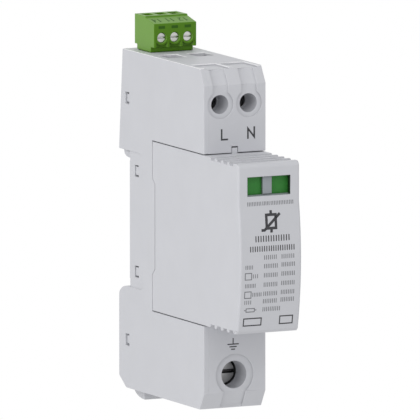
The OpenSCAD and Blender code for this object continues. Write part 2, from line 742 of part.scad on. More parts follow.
// Inner frame: the back plate with the blade slots and the wall between the two protective paths
module module_chassis() color("slategray") difference() {
    union() {
        box([-shell_x + fit_gap, shell_x - fit_gap], [plate_front, plate_back],
            [-shell_z + fit_gap, shell_z - fit_gap]);
        box([-partition_t / 2, partition_t / 2], [frame_y + frame_t, plate_back],
            [-shell_z + fit_gap, view_z + view_h / 2]);
        rod_x(pivot_r, -arm_x - arm_w, arm_x + arm_w, arm_y, arm_z);
        rod_x(pivot_r, -arm_x - arm_w, arm_x + arm_w, spring_y, spring_foot - pivot_r);
    }
    for (s = [-1, 1])
        box([s * pole_x - blade_t / 2 - fit_gap, s * pole_x + blade_t / 2 + fit_gap],
            [plate_front - eps, plate_back + eps],
            [blade_z - blade_h / 2 - fit_gap, blade_z + blade_h / 2 + fit_gap]);
    box([-blade_t / 2 - fit_gap, blade_t / 2 + fit_gap], [plate_front - eps, plate_back + eps],
        [-blade_z - blade_h / 2 - fit_gap, -blade_z + blade_h / 2 + fit_gap]);
    box([-body_w, body_w], [varistor_back - eps, plate_front],
        [-blade_z - blade_h / 2 - fit_gap, -blade_z + blade_h / 2 + fit_gap]);
    box([-body_w, body_w], [plate_front - rod_l - 2 * plunger_out, plate_front],
        [-rod_h / 2 - slide_gap, rod_h / 2 + slide_gap]);
    rod_y(rod_h / 2 + slide_gap, plate_front - eps, plate_back + eps, 0, 0);
}

// Red field behind the flags, with a bar in front of them on a web that passes between them
module indicator_frame() color("firebrick") difference() {
    union() {
        box([-shell_x + slide_gap, shell_x - slide_gap], [frame_y, frame_y + frame_t],
            [view_z - flag_h / 2 - frame_under, view_z + flag_h / 2]);
        for (part = [[view_bar_w, flag_y - flag_play], [bar_web, frame_y + fit_gap]])
            box([-part[0] / 2, part[0] / 2], [flag_y - bar_proud, part[1]],
                [view_z - view_h / 2 + view_sill + fit_gap, view_z + view_h / 2 - fit_gap]);
    }
    for (s = [-1, 1])
        box([s * arm_x - arm_w / 2 - slide_gap, s * arm_x + arm_w / 2 + slide_gap],
            [frame_y - slide_gap / 2, frame_y + frame_t + eps], [0, view_z + fork_gap + fork_t + slide_gap]);
}

module varistor(s) {
    r = varistor_round;
    tab_top = arm_z - arm_rear * sin(trip_angle / 2) - arm_t / 2 / cos(trip_angle / 2) - fit_gap;
    tab_y = arm_y + arm_rear + tab_sink - tab_l;
    middle_y = varistor_back - varistor_l / 2;
    body_top = varistor_z + varistor_h;
    mirror([s < 0 ? 1 : 0, 0, 0]) {
        slab(partition_t / 2, partition_t / 2 + varistor_t) translate([varistor_back - varistor_l, varistor_z])
            offset(r = r, $fn = 32) translate([r, r]) square([varistor_l - 2 * r, varistor_h - 2 * r]);
        box([arm_x - arm_w / 4, arm_x + arm_w / 4], [tab_y, tab_y + tab_l], [body_top - tab_sink, tab_top]);
        box([arm_x - arm_w / 4, arm_x + arm_w / 4], [min(tab_y, middle_y), max(tab_y + tab_l, middle_y)],
            [body_top - tab_sink, body_top + strap_t]);
    }
}
module trip_arm(s) {
    translate([s * arm_x, arm_y, arm_z]) rotate([-trip_angle / 2, 0, 0]) difference() {
        union() {
            box([-arm_w / 2, arm_w / 2], [-arm_r, arm_rear], [-arm_t / 2, arm_t / 2]);
            rod_x(arm_t / 2, -arm_w / 2, arm_w / 2, -arm_r, 0);
            rod_x(2 * pivot_r, -arm_w / 2, arm_w / 2, 0, 0);
        }
        rod_x(pivot_r + turn_gap, -arm_w, arm_w, 0, 0);
    }
}
module flag(s) {
    mirror([s < 0 ? 1 : 0, 0, 0]) {
        box([bar_web / 2 + slide_gap, shell_x - slide_gap], [flag_y, flag_y + flag_t],
            [view_z - flag_h / 2, view_z + flag_h / 2]);
        for (z = [view_z - fork_gap - fork_t, view_z + fork_gap])
            box([arm_x - arm_w / 2, arm_x + arm_w / 2], [flag_y, flag_y + flag_t + fork_l], [z, z + fork_t]);
    }
}
module trip_spring(s) {
    top = arm_z + spring_arm * sin(trip_angle / 2) - arm_t / 2 - trip_spring_gap;
    translate([s * arm_x, spring_y, spring_foot])
        coil(trip_spring_r, spring_wire, top - spring_foot, trip_spring_n);
}
module varistor_left() color("royalblue") varistor(-1);
module varistor_right() color("royalblue") varistor(1);
module trip_arm_left() color("peru") trip_arm(-1);
module trip_arm_right() color("peru") trip_arm(1);
module flag_left() color("green") flag(-1);
module flag_right() color("green") flag(1);
module trip_spring_left() color("dimgray") trip_spring(-1);
module trip_spring_right() color("dimgray") trip_spring(1);

// Plug-in blades; the earth blade joins both varistors
module blade(x) {
    box([x - blade_t / 2, x + blade_t / 2], [varistor_back, blade_end],
        [blade_z - blade_h / 2, blade_z + blade_h / 2]);
}
module line_blade(s) {
    blade(s * pole_x);
    box([s * pole_x - blade_t / 2, s * pole_x + blade_t / 2], [varistor_back, plate_front - fit_gap],
        [varistor_z + varistor_h - blade_foot, blade_z]);
}
module blade_l() color("goldenrod") line_blade(-1);
module blade_n() color("goldenrod") line_blade(1);
module blade_pe() color("goldenrod") mirror([0, 0, 1]) {
    blade(0);
    box([-pole_x, pole_x], [varistor_back, varistor_back + blade_t],
        [blade_z - blade_h / 2, blade_z + blade_h / 2]);
}
module signal_rod() color("ivory")
    box([-rod_t / 2, rod_t / 2],
        [plate_front - rod_l, -floor_d - floor_step - plunger_out - fit_gap], [-rod_h / 2, rod_h / 2]);

// Three-pole plug: a sloped head, a skirt over the base's opening and a foot, with a chamber for each pole
module plug_profile() {
    polygon([[plug_back, plug_z], [plug_back, plug_top], [plug_back - plug_top_d, plug_top],
        [plug_back - plug_top_d, plug_top - plug_lip], [-plug_front, plug_z + plug_front_h],
        [-plug_front, plug_z]]);
}
// The front's lower edge is cut back round a rim under each screw
module scallop(x) {
    half = (plug_pitch - rib_t) / 2;
    difference() {
        box([x - half, x + half], [-plug_front - eps, -plug_front + scallop_d], [plug_z - eps, plug_axis]);
        rod_y(boss_r, -plug_front - 2 * eps, -plug_front + 2 * scallop_d, x, plug_axis);
    }
}
module plug_body() color("olivedrab") difference() {
    union() {
        slab(-plug_w / 2, plug_w / 2) plug_profile();
        box([-plug_w / 2, plug_w / 2], [-plug_front + skirt_front, plug_back - skirt_back],
            [top_z + fit_gap, plug_z + eps]);
        box([-foot_w / 2, foot_w / 2], [foot_front, foot_back], [foot_z, plug_z + eps]);
    }
    for (i = [-1:1]) {
        x = i * plug_pitch;
        half = pole_w / 2;
        scallop(x);
        rod_y(plug_head / 2 + head_gap / 2, -plug_front - eps, plug_seat, x, plug_axis);
        rod_y(plug_screw_d / 2 + head_gap / 2, plug_seat - eps, plug_seat + 2 * plug_web, x, plug_axis);
        box([x - half, x + half], [plug_seat + plug_web, pole_back],
            [plug_axis - plug_cage_h / 2 - slide_gap, plug_axis + plug_cage_h / 2 + slide_gap]);
        box([x - half + fit_gap, x + half - fit_gap], [plug_bar_front + plug_bar_t, pole_back - plug_cage_t],
            [plug_axis, plug_top + eps]);
        socket = pin_w / 2 + fit_gap + contact_leaf + socket_gap;
        box([x - contact_w / 2 - socket_gap, x + contact_w / 2 + socket_gap], [pin_y - socket, pin_y + socket],
            [foot_z - eps, plug_axis]);
    }
}
module plug_screw(i) {
    slot_w = 0.45;
    x = i * plug_pitch;
    difference() {
        union() {
            rod_y(plug_head / 2, plug_seat - plug_head_t, plug_seat, x, plug_axis);
            rod_y(plug_screw_d / 2, plug_seat - fit_gap, plug_bar_front - fit_gap, x, plug_axis);
        }
        box([x - plug_head, x + plug_head], [plug_seat - plug_head_t - eps, plug_seat - plug_head_t / 2],
            [plug_axis - slot_w / 2, plug_axis + slot_w / 2]);
    }
}
module plug_cage(i) {
    x = i * plug_pitch;
    front = plug_bar_front - slide_gap - plug_nut_t;
    difference() {
        box([x - plug_cage_w / 2, x + plug_cage_w / 2], [front, pole_back - slide_gap],
            [plug_axis - plug_cage_h / 2, plug_axis + plug_cage_h / 2]);
        box([x - plug_cage_w / 2 + plug_cage_side, x + plug_cage_w / 2 - plug_cage_side],
            [front + plug_nut_t, pole_back - slide_gap - plug_cage_t], [plug_z, plug_top]);
        rod_y(plug_screw_d / 2 + turn_gap, front - eps, front + plug_nut_t + eps, x, plug_axis);
    }
}
module plug_contact(i) {
    leaf = contact_leaf;
    w = contact_w;
    x = i * plug_pitch;
    box([x - w / 2, x + w / 2], [plug_bar_front, plug_bar_front + plug_bar_t],
        [top_z - wall_t + fit_gap, plug_axis + plug_cage_h / 2]);
    for (y = [pin_y - pin_w / 2 - fit_gap - leaf, pin_y + pin_w / 2 + fit_gap])
        box([x - w / 2, x + w / 2], [y, y + leaf], [foot_z + socket_gap, top_z - wall_t + fit_gap + leaf]);
    box([x - w / 2, x + w / 2], [pin_y - pin_w / 2 - fit_gap - leaf, pin_y + pin_w / 2 + fit_gap + leaf],
        [top_z - wall_t + fit_gap, top_z - wall_t + fit_gap + leaf]);
}
module plug_screw_1() color("silver") plug_screw(-1);
module plug_screw_2() color("silver") plug_screw(0);
module plug_screw_3() color("silver") plug_screw(1);
module plug_cage_1() color("gray") plug_cage(-1);
module plug_cage_2() color("gray") plug_cage(0);
module plug_cage_3() color("gray") plug_cage(1);
module plug_contact_1() color("gold") plug_contact(-1);
module plug_contact_2() color("gold") plug_contact(0);
module plug_contact_3() color("gold") plug_contact(1);

base_housing();
base_cover();
rail_latch();
latch_spring();
terminal_screw_l();
terminal_screw_n();
terminal_screw_pe();
clamp_cage_l();
clamp_cage_n();
clamp_cage_pe();
contact_bar_l();
contact_bar_n();
contact_bar_pe();
signal_board();
signal_header();
header_pins();
microswitch();
switch_plunger();
module_shell();
module_chassis();
indicator_frame();
varistor_left();
varistor_right();
trip_arm_left();
trip_arm_right();
flag_left();
flag_right();
trip_spring_left();
trip_spring_right();
blade_l();
blade_n();
blade_pe();
signal_rod();
plug_body();
plug_screw_1();
plug_screw_2();
plug_screw_3();
plug_cage_1();
plug_cage_2();
plug_cage_3();
plug_contact_1();
plug_contact_2();
plug_contact_3();
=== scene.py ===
"""Looks of a rail-mounted surge arrester: finishes, softened edges, springs, print, light and camera."""
import json
import math

import bmesh
import bpy
from mathutils import Matrix, Vector
from mathutils.bvhtree import BVHTree


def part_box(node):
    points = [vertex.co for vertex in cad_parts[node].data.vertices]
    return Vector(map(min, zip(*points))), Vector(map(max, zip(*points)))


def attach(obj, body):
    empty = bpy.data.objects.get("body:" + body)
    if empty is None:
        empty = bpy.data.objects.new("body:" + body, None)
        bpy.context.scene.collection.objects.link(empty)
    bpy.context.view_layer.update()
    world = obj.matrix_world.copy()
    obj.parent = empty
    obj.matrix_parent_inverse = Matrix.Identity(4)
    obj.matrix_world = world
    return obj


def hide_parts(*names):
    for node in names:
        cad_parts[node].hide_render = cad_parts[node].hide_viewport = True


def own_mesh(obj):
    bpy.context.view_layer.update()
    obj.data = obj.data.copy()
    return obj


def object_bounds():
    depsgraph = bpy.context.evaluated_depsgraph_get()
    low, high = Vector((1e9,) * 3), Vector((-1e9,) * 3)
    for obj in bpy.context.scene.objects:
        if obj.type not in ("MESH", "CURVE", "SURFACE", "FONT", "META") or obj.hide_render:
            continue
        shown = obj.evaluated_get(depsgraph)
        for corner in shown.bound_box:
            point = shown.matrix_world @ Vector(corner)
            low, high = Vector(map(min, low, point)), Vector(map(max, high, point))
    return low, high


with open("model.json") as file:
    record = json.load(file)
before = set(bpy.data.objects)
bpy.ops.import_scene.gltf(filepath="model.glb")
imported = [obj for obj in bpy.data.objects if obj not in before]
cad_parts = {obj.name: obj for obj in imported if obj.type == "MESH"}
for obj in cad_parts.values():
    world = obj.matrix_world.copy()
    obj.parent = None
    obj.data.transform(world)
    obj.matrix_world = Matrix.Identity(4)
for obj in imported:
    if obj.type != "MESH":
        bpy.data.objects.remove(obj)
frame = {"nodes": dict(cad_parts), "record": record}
CAD_BOX = [list(corner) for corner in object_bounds()]
NODES = frame["nodes"]
RECORD = frame["record"]
BODY_OF = {node: body for body, nodes in RECORD["behaviour"]["bodies"].items() for node in nodes}
SLOT_OF = {part["node"]: part["material_slot"] for part in RECORD["subparts"]}
MM = 0.001

# Camera: the photograph's view is nearly parallel, so a long lens stands far off
VIEW_AZIMUTH = math.radians(-26.1)
VIEW_ELEVATION = math.radians(7.86)
IMAGE_PIXELS = 420
PIXELS_PER_MM = 3.8093
LENS_MM = 1500
SENSOR_MM = 36
CENTRE_RIGHT = 13.294 * MM
CENTRE_UP = 1.933 * MM
MIDDLE_DEPTH = 27 * MM

# Light: an even white room and two broad lamps, each with its azimuth, elevation and watts
ROOM_LEVEL = 0.586
WHITE = (1, 1, 1, 1)
LAMP_DISTANCE = 0.7
LAMP_SIZE = 0.5
LEFT_LAMP = (-72, 15, 1.56)
FRONT_LAMP = (-10, 44, 0.84)
FLOOR_DROP = 250 * MM
FLOOR_SIZE = 6.0
FLOOR_FADE = (0.5, 1.2)

# Colours, written as the screen shows them
FLOOR_WHITE = (252, 252, 252)
HOUSING_GREY = (208, 209, 214)
# Painted highlight along the base's rounded upper rim
RIM_HIGHLIGHT_GREY = (250, 250, 252)
LATCH_GREY = (200, 201, 205)
# The grey bar between the flags; the window's sill is painted in it as painted shade
BAR_AND_SILL_SHADE_GREY = (158, 164, 169)
# Painted shade in the screwdriver holes: a darker wall, and black shadow around each screw's head
BORE_SHADE_GREY = (188, 189, 194)
BORE_SHADOW_DARK = (30, 30, 32)
PLUG_GREEN = (110, 156, 59)
# Painted shade: the plug's front faces, a deeper green than its sides and top
PLUG_FRONT_SHADE_GREEN = (80, 128, 12)
FLAG_GREEN = (58, 136, 58)
FIELD_RED = (186, 40, 34)
INK = (66, 66, 69)
THIN_INK = (122, 123, 127)
PLUG_INK = (44, 88, 0)
# Painted shade on the window's right-hand reveal
WINDOW_SHADE = (46, 66, 50)
ZINC = (222, 222, 220)
# Painted shade: a darker copy of the zinc for the terminal screws deep in their holes
SCREW_SHADE_ZINC = (176, 176, 176)
# Painted shade in the screws' slots
SLOT_SHADE_DARK = (92, 92, 92)
BRASS = (205, 170, 110)
EPOXY_BLUE = (52, 84, 150)
BOARD_GREEN = (28, 92, 52)
SWITCH_BLACK = (44, 44, 47)
ROD_WHITE = (226, 225, 220)


def screen_colour(rgb):
    """A screen colour of 0 to 255 as the linear colour that a shader takes."""
    linear = []
    for part in rgb:
        c = part / 255
        linear.append(c / 12.92 if c <= 0.04045 else ((c + 0.055) / 1.055) ** 2.4)
    return (*linear, 1.0)


def toned(rgb, factor):
    """A screen colour made lighter or darker."""
    return tuple(min(255, part * factor) for part in rgb)


class Value:
    """A socket's value in a material. Arithmetic on it adds Math nodes."""

    def __init__(self, finish, socket):
        self.finish = finish
        self.socket = socket

    def _math(self, operation, *values):
        return self.finish.node("ShaderNodeMath", {"operation": operation}, *values)

    def __add__(self, other):
        return self._math("ADD", self, other)

    def __sub__(self, other):
        return self._math("SUBTRACT", self, other)

    def __rsub__(self, other):
        return self._math("SUBTRACT", other, self)

    def __mul__(self, other):
        return self._math("MULTIPLY", self, other)

    __radd__ = __add__
    __rmul__ = __mul__


def socket_of(sockets, key):
    """A node's socket by its number, its identifier or its name with underscores for spaces."""
    if isinstance(key, int):
        return sockets[key]
    name = key.replace("_", " ")
    return next(socket for socket in sockets if key == socket.identifier or name == socket.name)


class Finish:
    """One node tree: a way to add any node, and the shader that the values feed."""

    def __init__(self, owner, shader, output):
        owner.use_nodes = True
        self.owner = owner
        self.tree = owner.node_tree
        self.shader = self.tree.nodes[shader]
        self.output = self.tree.nodes[output]

    def feed(self, socket, value):
        """Links a value to a socket, or sets a plain number, colour or vector there."""
        if isinstance(value, Value):
            self.tree.links.new(value.socket, socket)
        else:
            socket.default_value = value

    def node(self, kind, settings, *values, out=0, **named):
        """A new node: its settings first, then its sockets by number or name. It gives one output's value."""
        made = self.tree.nodes.new(kind)
        for key, setting in settings.items():
            setattr(made, key, setting)
        for key, value in [*enumerate(values), *named.items()]:
            self.feed(socket_of(made.inputs, key), value)
        return Value(self, socket_of(made.outputs, out))

    def shade(self, **sockets):
        """Feeds the finish's own shader, socket by socket."""
        for key, value in sockets.items():
            self.feed(socket_of(self.shader.inputs, key), value)

    def place(self):
        """Where the surface point is on the object, in metres."""
        return self.node("ShaderNodeTexCoord", {}, out="Object")

    def noise(self, size, detail=2.0, stretch=None):
        """Noise whose lumps are about that size, in metres, drawn out along the axes if asked."""
        where = self.place()
        if stretch:
            where = self.node("ShaderNodeVectorMath", {"operation": "MULTIPLY"}, where, stretch)
        return self.node("ShaderNodeTexNoise", {}, Vector=where, Scale=1 / size, Detail=detail)

    def mix(self, factor, one, two):
        """One colour that turns into another as the factor goes from nothing to one."""
        return self.node("ShaderNodeMix", {"data_type": "RGBA"}, out="Result_Color",
                         Factor_Float=factor, A_Color=one, B_Color=two)

    def tones(self, factor, rgb, low=1.0, high=1.0):
        """A screen colour that wavers between two tones of itself."""
        return self.mix(factor, screen_colour(toned(rgb, low)), screen_colour(toned(rgb, high)))

    def smooth_step(self, value, start, end):
        """Nothing below the start and one above the end, with a soft change between them."""
        return self.node("ShaderNodeMapRange", {"interpolation_type": "SMOOTHSTEP"}, value,
                         start, end, 0.0, 1.0)

    def beyond(self, start, axis="Y"):
        """One past a place along an axis of the object and nothing before it, changing quickly."""
        along = self.node("ShaderNodeSeparateXYZ", {}, self.place(), out=axis)
        return self.smooth_step(along, start, start + SHORT_CHANGE)

    def bump(self, height, strength, depth):
        """A normal that follows a relief of that depth, in metres."""
        return self.node("ShaderNodeBump", {}, Strength=strength, Distance=depth, Height=height)


def surface_finish(name):
    """A new material, to be shaded."""
    return Finish(bpy.data.materials.new(name), "Principled BSDF", "Material Output")


# Finishes
SHORT_CHANGE = 0.15 * MM
# Painted corner shade: how far it looks, with how many rays, and how dark it paints corners and creases
CORNER_SHADE_REACH = 0.8 * MM
CORNER_SHADE_RAYS = 8
CORNER_SHADE_TONE = 0.9
FINE_RELIEF = 0.02 * MM
SATIN_ROUGHNESS = 0.46
SMOOTH_ROUGHNESS = 0.4


def moulded_plastic(name, rgb, roughness=SATIN_ROUGHNESS, rim_highlight_from=None):
    """Satin moulding: a fine eroded grain, a barely uneven tone, and painted shade that darkens its corners.

    With a height for its rim, it is painted pale from there upwards, as a painted highlight.
    """
    finish = surface_finish(name)
    cloud = finish.noise(size=9 * MM, detail=3.0)
    grain = finish.noise(size=0.16 * MM)
    clean = finish.tones(cloud, rgb, low=0.985, high=1.015)
    if rim_highlight_from is not None:
        clean = finish.mix(finish.beyond(rim_highlight_from, "Z"), clean, screen_colour(RIM_HIGHLIGHT_GREY))
    # Painted shade: the colour darkens where nearby surfaces hem the surface in, in corners, creases and
    # recesses
    corner_shade_mask = finish.node("ShaderNodeAmbientOcclusion", {"samples": CORNER_SHADE_RAYS}, out="AO",
                           Distance=CORNER_SHADE_REACH)
    finish.shade(
        Base_Color=finish.mix(corner_shade_mask, screen_colour(toned(rgb, CORNER_SHADE_TONE)), clean),
        Roughness=roughness + 0.12 * (grain - 0.5),
        Normal=finish.bump(grain, strength=0.1, depth=FINE_RELIEF),
        IOR=1.5,
        Specular_IOR_Level=0.26)
    return finish.owner


def shaded_bore_wall(name, shadow_from):
    """A screwdriver hole's wall: painted shade in a darker grey, matt with a core pin's drag marks, and
    painted black shadow beside its screw's head.
    """
    finish = surface_finish(name)
    drag = finish.noise(size=0.2 * MM, stretch=(1.0, 0.1, 1.0))
    finish.shade(
        Base_Color=finish.mix(finish.beyond(shadow_from), screen_colour(BORE_SHADE_GREY), screen_colour(BORE_SHADOW_DARK)),
        Roughness=0.5 + 0.1 * drag,
        Normal=finish.bump(drag, strength=0.1, depth=FINE_RELIEF),
        Specular_IOR_Level=0.3)
    return finish.owner


def plated_steel(name, rgb, slot_shade_from=None):
    """Zinc plating: bright, with turning marks and a faint bloom.

    With a depth for its slot, it is painted dark from there inwards, as painted shade in the slot.
    """
    finish = surface_finish(name)
    bloom = finish.noise(size=1.1 * MM, detail=4.0)
    lines = finish.noise(size=0.09 * MM, stretch=(0.2, 1.0, 1.0))
    colour = finish.tones(bloom, rgb, low=0.9)
    if slot_shade_from is not None:
        colour = finish.mix(finish.beyond(slot_shade_from), colour, screen_colour(SLOT_SHADE_DARK))
    finish.shade(
        Base_Color=colour,
        Metallic=1.0,
        Roughness=0.26 + 0.16 * bloom,
        Normal=finish.bump(lines, strength=0.15, depth=FINE_RELIEF))
    return finish.owner


def stamped_brass(name):
    """Rolled brass strip with a dull tarnish in patches."""
    finish = surface_finish(name)
    tarnish = finish.noise(size=2.2 * MM, detail=4.0)
    roll = finish.noise(size=0.12 * MM, stretch=(1.0, 0.08, 1.0))
    finish.shade(
        Base_Color=finish.tones(tarnish, BRASS, low=0.8),
        Metallic=1.0,
        Roughness=0.24 + 0.2 * tarnish,
        Normal=finish.bump(roll, strength=0.1, depth=FINE_RELIEF))
    return finish.owner


def epoxy_dip(name):
    """Dipped coating: glossy, with runs and orange peel."""
    finish = surface_finish(name)
    peel = finish.noise(size=0.8 * MM)
    runs = finish.noise(size=5 * MM)
    finish.shade(
        Base_Color=finish.tones(runs, EPOXY_BLUE, low=0.85),
        Roughness=0.2 + 0.1 * peel,
        Normal=finish.bump(peel, strength=0.2, depth=0.1 * MM))
    return finish.owner


def solder_resist(name):
    """Circuit board: green resist over tracks that show through as a lighter pattern."""
    finish = surface_finish(name)
    tracks = finish.node(
        "ShaderNodeTexBrick", {"offset": 0.5}, out="Fac", Vector=finish.place(), Scale=1 / (3 * MM),
        Mortar_Size=0.06, Mortar_Smooth=0.1)
    mottle = finish.noise(size=0.5 * MM)
    finish.shade(
        Base_Color=finish.tones(tracks, BOARD_GREEN, high=1.35),
        Roughness=0.3 + 0.1 * mottle,
        Normal=finish.bump(tracks, strength=0.3, depth=0.04 * MM))
    return finish.owner


def pad_ink(name, rgb):
    """Pad-printed ink: matt, a little thin in places."""
    finish = surface_finish(name)
    thin = finish.noise(size=0.25 * MM)
    finish.shade(
        Base_Color=finish.tones(thin, rgb, low=0.92, high=1.12),
        Roughness=0.6 + 0.1 * thin,
        Specular_IOR_Level=0.3)
    return finish.owner


FINISHES = {
    "light_grey_plastic": moulded_plastic("light_grey_plastic", HOUSING_GREY),
    "grey_plastic": moulded_plastic("grey_plastic", LATCH_GREY),
    "steel": plated_steel("steel", ZINC),
    "brass": stamped_brass("brass"),
    "circuit_board": solder_resist("circuit_board"),
    "green_plastic": moulded_plastic("green_plastic", PLUG_GREEN, SMOOTH_ROUGHNESS),
    "dark_plastic": moulded_plastic("dark_plastic", SWITCH_BLACK, roughness=0.38),
    "red_plastic": moulded_plastic("red_plastic", FIELD_RED, SMOOTH_ROUGHNESS),
    "blue_coating": epoxy_dip("blue_coating"),
    "flag_green": moulded_plastic("flag_green", FLAG_GREEN, SMOOTH_ROUGHNESS),
    "white_plastic": moulded_plastic("white_plastic", ROD_WHITE),
}
# The bar's own grey, also painted on the window's sill as painted shade
BAR_AND_SILL_SHADE_FINISH = moulded_plastic("bar_grey_plastic", BAR_AND_SILL_SHADE_GREY)
# Painted shade on the window's right-hand reveal
SHADE_FINISH = moulded_plastic("window_shade", WINDOW_SHADE)
# Painted shade on the plug's front faces
PLUG_FRONT_SHADE_FINISH = moulded_plastic("front_green_plastic", PLUG_FRONT_SHADE_GREEN, SMOOTH_ROUGHNESS)
INK_FINISH = pad_ink("grey_ink", INK)
THIN_INK_FINISH = pad_ink("thin_ink", THIN_INK)
PLUG_INK_FINISH = pad_ink("plug_ink", PLUG_INK)


# Pieces in general
def placed(name, data):
    """A new object in the scene."""
    made = bpy.data.objects.new(name, data)
    bpy.context.collection.objects.link(made)
    return made


def shaped(name, shape):
    """A new piece with the shape that was drawn up for it."""
    mesh = bpy.data.meshes.new(name)
    shape.to_mesh(mesh)
    shape.free()
    return placed(name, mesh)


def add_finish(piece, finish):
    """Gives a piece one more finish, and says the number that its faces know it by."""
    piece.data.materials.append(finish)
    return len(piece.data.materials) - 1


def stand_in(piece, node):
    """Puts a piece in the place of a CAD solid, on the body that the solid rides."""
    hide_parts(node)
    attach(piece, BODY_OF[node])


# Softened pieces: how a solid's mesh is cleaned, and which of its edges are rounded
WELD = 0.002 * MM
SHORT_EDGE = 0.03 * MM
FLAT_ANGLE = math.radians(0.4)
SHARP_ANGLE = math.radians(28)
CLEAR_WAY = 20 * MM
BIG_FACE_WEIGHT = 80


def welded_shape(node):
    """A CAD solid's mesh with its seams closed and its flat faces whole."""
    shape = bmesh.new()
    shape.from_mesh(NODES[node].data)
    bmesh.ops.remove_doubles(shape, verts=shape.verts, dist=WELD)
    bmesh.ops.dissolve_degenerate(shape, edges=shape.edges, dist=SHORT_EDGE)
    bmesh.ops.dissolve_limit(shape, angle_limit=FLAT_ANGLE, verts=shape.verts, edges=shape.edges)
    return shape


def seen_from_outside(tree, edge):
    """Whether the way out from an edge is clear, so that it isn't an edge of a cavity."""
    out = (edge.link_faces[0].normal + edge.link_faces[1].normal).normalized()
    middle = (edge.verts[0].co + edge.verts[1].co) / 2
    return tree.ray_cast(middle + out * SHORT_EDGE, out, CLEAR_WAY)[0] is None


def softened(node, radius, weight=None, segments=2, edge_finish=None):
    """A piece that stands for a CAD solid, with its outer sharp edges rounded as a moulding's are.

    With a finish for its edges, only those that stand out are rounded, and the rounding takes that finish;
    the base's finish paints a highlight on its rim.
    """
    shape = welded_shape(node)
    tree = BVHTree.FromBMesh(shape)
    layer = shape.edges.layers.float.new("bevel_weight_edge")
    for edge in shape.edges:
        sharp = edge.calc_face_angle(0) > SHARP_ANGLE and (edge.is_convex or not edge_finish)
        if sharp and seen_from_outside(tree, edge):
            edge[layer] = weight(edge) if weight else 1.0
    for face in shape.faces:
        face.smooth = True
    piece = shaped(f"{node}_soft", shape)
    add_finish(piece, FINISHES[SLOT_OF[node]])
    rounding = piece.modifiers.new("rounding", "BEVEL")
    rounding.limit_method = "WEIGHT"
    rounding.width = radius
    rounding.segments = segments
    rounding.use_clamp_overlap = False
    if edge_finish:
        rounding.material = add_finish(piece, edge_finish)
    shading = piece.modifiers.new("shading", "WEIGHTED_NORMAL")
    shading.mode = "FACE_AREA"
    shading.weight = BIG_FACE_WEIGHT
    stand_in(piece, node)
    return piece


# Roundings, and shares of them for edges that stay crisper
MOULD_EDGE = 0.16 * MM
FRONT_EDGE = 0.7 * MM
METAL_EDGE = 0.06 * MM
JOINT_SHARE = 0.15
RECESS_SHARE = 0.4

# How far a feature's edges, faces or shade reach
FRONT_ZONE = 3.3 * MM
RECESS_ZONE = 3.5 * MM
JOINT_ROOM = 0.05 * MM
HOOK_TIP = 1.0 * MM
BAY_ROOM = 0.8 * MM
RIM_HIGHLIGHT_HEIGHT = 0.35 * MM
SILL_START = 0.2 * MM
SILL_ROOM = 1.2 * MM
BORE_ROOM = 0.6 * MM
BORE_START = 0.6 * MM
HEAD_SHADE = 0.3 * MM
SLOT_START = 0.12 * MM
BAR_DEPTH = 0.6 * MM

# How squarely a face looks along an axis
SQUARE_ON = 0.9
SLANTING = 0.3

# Where the rail's seat is along Y, and the boxes of the large pieces
RAIL_SEAT = 0.0
MODULE_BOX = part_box("module_shell")
COVER_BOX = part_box("base_cover")
HOUSING_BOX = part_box("base_housing")
# The base's rounded edges: the housing's grey below the rim, a painted highlight from the rim up
RIM_HIGHLIGHT_FINISH = moulded_plastic("edge_grey_plastic", HOUSING_GREY, rim_highlight_from=COVER_BOX[1].z - RIM_HIGHLIGHT_HEIGHT)


def module_edge(edge):
    """The module's upright front edges are rounded more than its others, and those in the bay less."""
    low, high = MODULE_BOX
    ends = [vertex.co for vertex in edge.verts]
    at_side = all(min(abs(co.x - low.x), abs(co.x - high.x)) < WELD for co in ends)
    at_front = all(co.y < low.y + FRONT_ZONE for co in ends)
    least = MOULD_EDGE / FRONT_EDGE
    if all(co.y > HOUSING_BOX[0].y for co in ends):
        return least * JOINT_SHARE
    upright = abs((ends[1] - ends[0]).normalized().z)
    return least + (1 - least) * upright if at_side and at_front else least


def base_edge(edge):
    """The base's joint, its bay's rim and its hook's tip stay nearly sharp, and its recesses are crisp."""
    joint = COVER_BOX[1].x
    left, right = COVER_BOX[0].x + MOULD_EDGE, HOUSING_BOX[1].x - MOULD_EDGE
    front, rear = HOUSING_BOX[0].y, HOUSING_BOX[1].y
    bay_low, bay_high = MODULE_BOX[0].z - BAY_ROOM, MODULE_BOX[1].z + BAY_ROOM
    ends = [vertex.co for vertex in edge.verts]
    if all(abs(co.x - joint) < JOINT_ROOM or co.y > rear - HOOK_TIP for co in ends):
        return JOINT_SHARE
    if all(bay_low < co.z < bay_high and front < co.y < RAIL_SEAT for co in ends):
        return JOINT_SHARE
    if all(co.y < front + RECESS_ZONE and left < co.x < right for co in ends):
        return RECESS_SHARE
    return 1.0


def base_case():
    """The base's cover, its housing with three screwdriver holes, and the screws in them, with a painted
    highlight on the rim and painted shade in the holes, on the screws and in their slots.
    """
    softened("base_cover", MOULD_EDGE, base_edge, edge_finish=RIM_HIGHLIGHT_FINISH)
    piece = softened("base_housing", MOULD_EDGE, base_edge, edge_finish=RIM_HIGHLIGHT_FINISH)
    for pole in ("l", "n", "pe"):
        screw = f"terminal_screw_{pole}"
        low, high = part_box(screw)
        middle = (low + high) / 2
        reach = (high.x - low.x) / 2 + BORE_ROOM
        # The hole's walls take the painted shade
        bore_shade = add_finish(piece, shaded_bore_wall(f"bore_wall_{pole}", low.y - HEAD_SHADE))
        for face in piece.data.polygons:
            across = face.center - middle
            if math.hypot(across.x, across.z) < reach and face.center.y > HOUSING_BOX[0].y + BORE_START:
                face.material_index = bore_shade
        head = softened(screw, METAL_EDGE)
        # Painted shade on the screw: a darker copy of the zinc, deep in its hole, and a painted dark slot
        head.data.materials[0] = plated_steel(f"screw_steel_{pole}", SCREW_SHADE_ZINC, low.y + SLOT_START)


